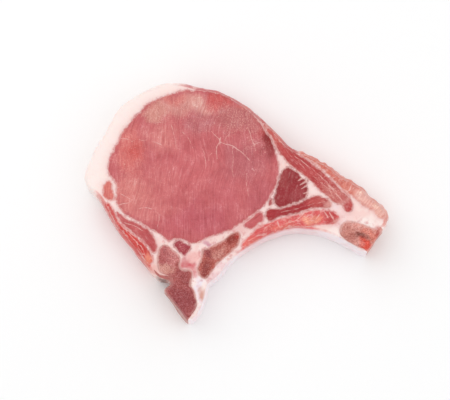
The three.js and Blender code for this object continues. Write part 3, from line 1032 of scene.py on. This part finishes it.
def lean_material():
    """Raw lean: fibres, pale flecks, veins, and feathered edges at the seams."""
    r = Recipe("raw_lean")
    grain = r.stored("grain", "Vector")
    place = r.place()
    bundles = r.noise(r.scaled(grain, (0.5, 0.07, 1)), 1.0, 3)
    fibres = r.noise(r.scaled(grain, (1.7, 0.13, 1)), 1.0, 4)
    strands = r.noise(r.scaled(grain, (1.1, 0.045, 1)), 1.0, 3, 0.7)
    cloud = r.noise(place, 0.16, 4, 0.6)
    mottle = r.noise(place, 0.55, 4, 0.65)
    speckle = r.noise(place, 1.7, 3, 0.6)
    washes = [
        (cloud, 0.5, 0.68, 0.4, (1.1, 1.36, 1.3)),
        (cloud, 0.5, 0.34, 0.5, (0.84, 0.70, 0.72)),
        (bundles, 0.5, 0.34, 0.5, (0.86, 0.76, 0.77)),
        (fibres, 0.5, 0.7, 0.75, (1.16, 1.6, 1.56)),
        (fibres, 0.48, 0.3, 0.55, (0.80, 0.64, 0.64)),
        (strands, 0.56, 0.7, 0.5, (1.2, 1.75, 1.75)),
        (mottle, 0.54, 0.72, 0.5, (1.16, 1.55, 1.5)),
        (mottle, 0.46, 0.3, 0.5, (0.82, 0.70, 0.70)),
    ]
    colour = r.washed(r.stored("tone", "Vector"), washes)
    colour = marbled(r, colour, grain, place, cloud, speckle)
    ragged = r.spread(fibres, 1.6)
    edge = r.plus(r.plus(r.stored("edge"), ragged), r.spread(mottle, 2.0))
    vein = r.plus(r.plus(r.stored("vein"), r.times(ragged, 0.25)), r.spread(mottle, 0.9))
    colour = r.washed(colour, [(edge, 2.4, 0.6, 0.25, (0.84, 0.66, 0.66))])
    layers = [
        (r.step(edge, 0.75, -0.2, 0.0, 0.8), EDGE_FAT),
        (r.step(vein, 0.24, -0.12, 0.0, 0.6), VEIN_FAT),
    ]
    return r.finish(
        colour=r.laid(colour, layers),
        roughness=r.step(mottle, 0.3, 0.7, 0.32, 0.45),
        height=r.plus(fibres, r.times(speckle, 0.8)),
        depth=0.0002,
        Subsurface_Weight=0.1,
        Subsurface_Radius=(1.0, 0.35, 0.25),
        Subsurface_Scale=0.0012,
        Specular_IOR_Level=0.22,
    )


def marbled(r, colour, grain, place, cloud, speckle):
    """Lean with streaks of fat along the grain, flecks, and a fine web of pale threads."""
    lumps = r.noise(r.scaled(grain, (0.62, 0.24, 1)), 1.0, 4, 0.65)
    fatty = r.times(r.step(lumps, 0.52, 0.66), r.stored("streaky"))
    stipple = r.times(r.step(speckle, 0.5, 0.66), r.stored("flecks"))
    layers = [(r.times(fatty, 0.55), STREAK_FAT), (r.times(stipple, 0.75), FLECK_FAT)]
    ridge = r.math("ABSOLUTE", r.math("SUBTRACT", r.noise(place, 0.22, 5, 0.62), 0.5))
    webbing = r.times(r.step(ridge, 0.018, 0.003), r.step(cloud, 0.46, 0.6))
    colour = r.laid(colour, layers)
    return r.mix(r.times(webbing, 0.6), colour, (1.25, 1.8, 1.8, 1), "MULTIPLY")


def fat_material():
    """Fat: creamy where it is thick, pinker in thin seams, with membrane under the ribs."""
    r = Recipe("raw_fat")
    place = r.place()
    cloud = r.noise(place, 0.12, 3)
    grains = r.noise(place, 0.9, 4, 0.6)
    blots = r.noise(place, 0.45, 4, 0.65)
    streaks = r.noise(r.scaled(place, (0.35, 0.35, 1.6)), 0.7, 4, 0.65)
    ragged = r.plus(r.spread(grains, 0.9), r.spread(blots, 2.0))
    near_lean = r.plus(r.stored("near_lean"), ragged)
    near_bone = r.plus(r.stored("near_bone"), ragged)
    bloody = r.times(r.step(blots, 0.46, 0.7), r.step(near_bone, 5.5, 1.0))
    layers = [
        (r.step(cloud, 0.45, 0.65, 0.0, 0.3), WARM_FAT),
        (r.step(near_lean, 5.5, 0.5, 0.0, 0.25), PINK_FAT),
        (r.step(near_lean, 2.0, 0.2, 0.0, 0.6), SEAM),
        (r.times(bloody, 0.6), BLOODY_FAT),
        (r.step(near_bone, 1.1, 0.1, 0.0, 0.3), FAT_BY_BONE),
        (r.step(near_bone, 0.7, -0.4, 0.0, 0.7), BONE_SEAM),
        (r.step(near_lean, 0.7, -0.3, 0.0, 0.7), r.stored("lean_tone", "Vector")),
    ]
    colour = r.laid(r.stored("tone", "Vector"), layers)
    colour = lined(r, colour, place, near_lean, streaks)
    colour = sawn_through(r, colour, place)
    wash = r.times(r.stored("side"), r.step(streaks, 0.5, 0.7, 0.0, 0.22))
    return r.finish(
        colour=r.mix(wash, colour, WALL_STREAK),
        roughness=r.step(cloud, 0.3, 0.7, 0.36, 0.46),
        height=r.plus(grains, r.times(streaks, 0.6)),
        depth=0.00018,
        Subsurface_Weight=0.2,
        Subsurface_Radius=(1.0, 0.6, 0.5),
        Subsurface_Scale=0.0016,
        Specular_IOR_Level=0.4,
    )


def lined(r, colour, place, near_lean, streaks):
    """Fat with lean under a thin film at its wall, and membrane in the hollow."""
    rim, side, hollow = r.stored("rim"), r.stored("side"), r.stored("hollow")
    patchy = r.noise(place, 0.2, 4, 0.6)
    drifting = r.plus(near_lean, r.spread(patchy, 10))
    skin = r.times(r.step(rim, 2.3, 1.5), r.step(drifting, 5.5, 0.0))
    shown = r.math("SUBTRACT", 0.85, r.times(r.times(hollow, side), 0.45))
    lining = r.times(hollow, r.step(rim, 1.3, 0.5))
    lining = r.times(lining, r.step(skin, 1.0, 0.0, 0.55, 0.85))
    layers = [
        (r.step(patchy, 0.42, 0.66, 0.0, 0.6), MEMBRANE_PINK),
        (r.step(patchy, 0.5, 0.3, 0.0, 0.5), MEMBRANE_LILAC),
        (r.step(streaks, 0.5, 0.68, 0.0, 0.35), MEMBRANE_LIGHT),
    ]
    membrane = r.laid(MEMBRANE, layers)
    film = (r.times(skin, shown), r.stored("lean_tone", "Vector"))
    return r.laid(colour, [film, (lining, membrane)])


def sawn_through(r, colour, place):
    """Fat whose wall is pitted bone where the saw went through a bone."""
    rim, near_bone = r.stored("rim"), r.stored("near_bone")
    sawn = r.times(r.step(rim, 2.6, 1.8), r.step(near_bone, 2.6, 1.8))
    sawn = r.times(sawn, r.step(r.stored("hollow"), 0.6, 0.4))
    pits = r.noise(place, 0.9, 3, 0.6)
    bone_tone = r.mix(r.times(r.stored("side"), 0.5), r.stored("bone_tone", "Vector"), SAWN_WALL)
    cut_bone = r.washed(bone_tone, [(pits, 0.54, 0.34, 0.7, (0.62, 0.42, 0.42))])
    return r.mix(r.step(sawn, 0.2, 0.8, 0.0, 0.9), colour, cut_bone)


def bone_material():
    """Sawn bone: a pale broken rim round spongy bone with dark marrow in its pores."""
    r = Recipe("sawn_bone")
    place = r.place()
    sponge = r.noise(place, 1.6, 4, 0.75)
    cloud = r.noise(place, 0.34, 4, 0.6)
    pores = r.add("ShaderNodeTexVoronoi", "Distance", Vector=place, Scale=1.5)
    washes = [
        (cloud, 0.5, 0.7, 0.5, (1.25, 1.5, 1.5)),
        (cloud, 0.46, 0.32, 0.5, (0.80, 0.62, 0.60)),
        (sponge, 0.5, 0.34, 0.9, (0.62, 0.38, 0.42)),
        (sponge, 0.5, 0.64, 0.9, (1.3, 1.75, 1.9)),
    ]
    colour = r.washed(r.stored("tone", "Vector"), washes)
    edge = r.plus(r.plus(r.stored("edge"), r.spread(cloud, 3.5)), r.spread(sponge, 1.2))
    rind = r.times(r.step(edge, 1.1, 0.2, 0.0, 0.6), r.step(r.stored("rim"), 2.4, 4.0))
    layers = [
        (r.step(pores, 0.3, 0.14, 0.0, 0.35), MARROW),
        (r.step(sponge, 0.54, 0.64, 0.0, 0.35), SPONGE_FAT),
        (rind, RIND),
    ]
    return r.finish(
        colour=r.laid(colour, layers),
        roughness=0.5,
        height=r.plus(sponge, r.step(pores, 0.1, 0.3)),
        depth=0.0003,
        Subsurface_Weight=0.08,
        Subsurface_Radius=(1.0, 0.5, 0.4),
        Subsurface_Scale=0.001,
        Specular_IOR_Level=0.2,
    )


# The photograph looks almost straight down: its frame, and where the chop lies in it.
PHOTO_WIDTH = 450
PIXELS_PER_MM = 2.0
ELEVATION = 82.5
CAMERA_FAR = 900
SENSOR = 36
CAMERA_NEAR = 10  # what is nearer isn't drawn
FRAME_MIDDLE = (-5.7, 1.2)  # the place in plan in the middle of the frame

# The studio, in metres and watts
FLOOR_REACH = 4.0
FLOOR_DROP = 0.0001
FLOOR_SHADE = 0.96
FLOOR_ROUGHNESS = 0.8
SURROUND = 0.76
LIGHT_SIZE = 1.3
LIGHTS = {"key": ((-0.5, 0.45, 0.9), 4.1), "fill": ((0.6, -0.3, 0.8), 2.1)}


def make_camera():
    """The photograph's camera, far off with a long lens."""
    data = bpy.data.cameras.new("camera")
    data.sensor_width = SENSOR
    data.lens = PIXELS_PER_MM * CAMERA_FAR * SENSOR / PHOTO_WIDTH
    data.clip_start = CAMERA_NEAR * MM
    camera = added("camera", data)
    tilt = math.radians(ELEVATION)
    back = Vector((0, -math.cos(tilt), math.sin(tilt)))
    aim = Vector((*(PLAN_ORIGIN + FRAME_MIDDLE), THICKNESS)) * MM
    camera.location = aim + back * CAMERA_FAR * MM
    camera.rotation_euler = (-back).to_track_quat("-Z", "Y").to_euler()
    bpy.context.scene.camera = camera


def make_light(name, spot, watts):
    """A large soft light that faces the chop."""
    data = bpy.data.lights.new(name, "AREA")
    data.size = LIGHT_SIZE
    data.energy = watts
    light = added(name, data)
    light.location = spot
    light.rotation_euler = (-Vector(spot)).to_track_quat("-Z", "Y").to_euler()


def make_floor():
    """A pale floor, just under the chop."""
    mesh = bpy.data.meshes.new("floor")
    corners = [(x * FLOOR_REACH, y * FLOOR_REACH, 0) for x, y in ((-1, -1), (1, -1), (1, 1), (-1, 1))]
    mesh.from_pydata(corners, [], [(0, 1, 2, 3)])
    floor = added("floor", mesh)
    floor.location.z = -FLOOR_DROP
    paint = Recipe("pale_floor")
    paint.shader.inputs["Base Color"].default_value = (FLOOR_SHADE, FLOOR_SHADE, FLOOR_SHADE, 1)
    paint.shader.inputs["Roughness"].default_value = FLOOR_ROUGHNESS
    mesh.materials.append(paint.material)


def make_surround():
    """An even white surround."""
    world = bpy.data.worlds.new("studio")
    world.use_nodes = True
    background = world.node_tree.nodes["Background"]
    background.inputs["Color"].default_value = (1, 1, 1, 1)
    background.inputs["Strength"].default_value = SURROUND
    bpy.context.scene.world = world


bpy.context.scene.view_settings.view_transform = "Standard"
lean = lean_material()
bone = bone_material()
for node, look in LEAN.items():
    make_lean(node, look, lean)
for node, look in BONE.items():
    make_bone(node, look, bone)
make_fat(fat_material())
make_floor()
make_surround()
for name, (spot, watts) in LIGHTS.items():
    make_light(name, spot, watts)
make_camera()
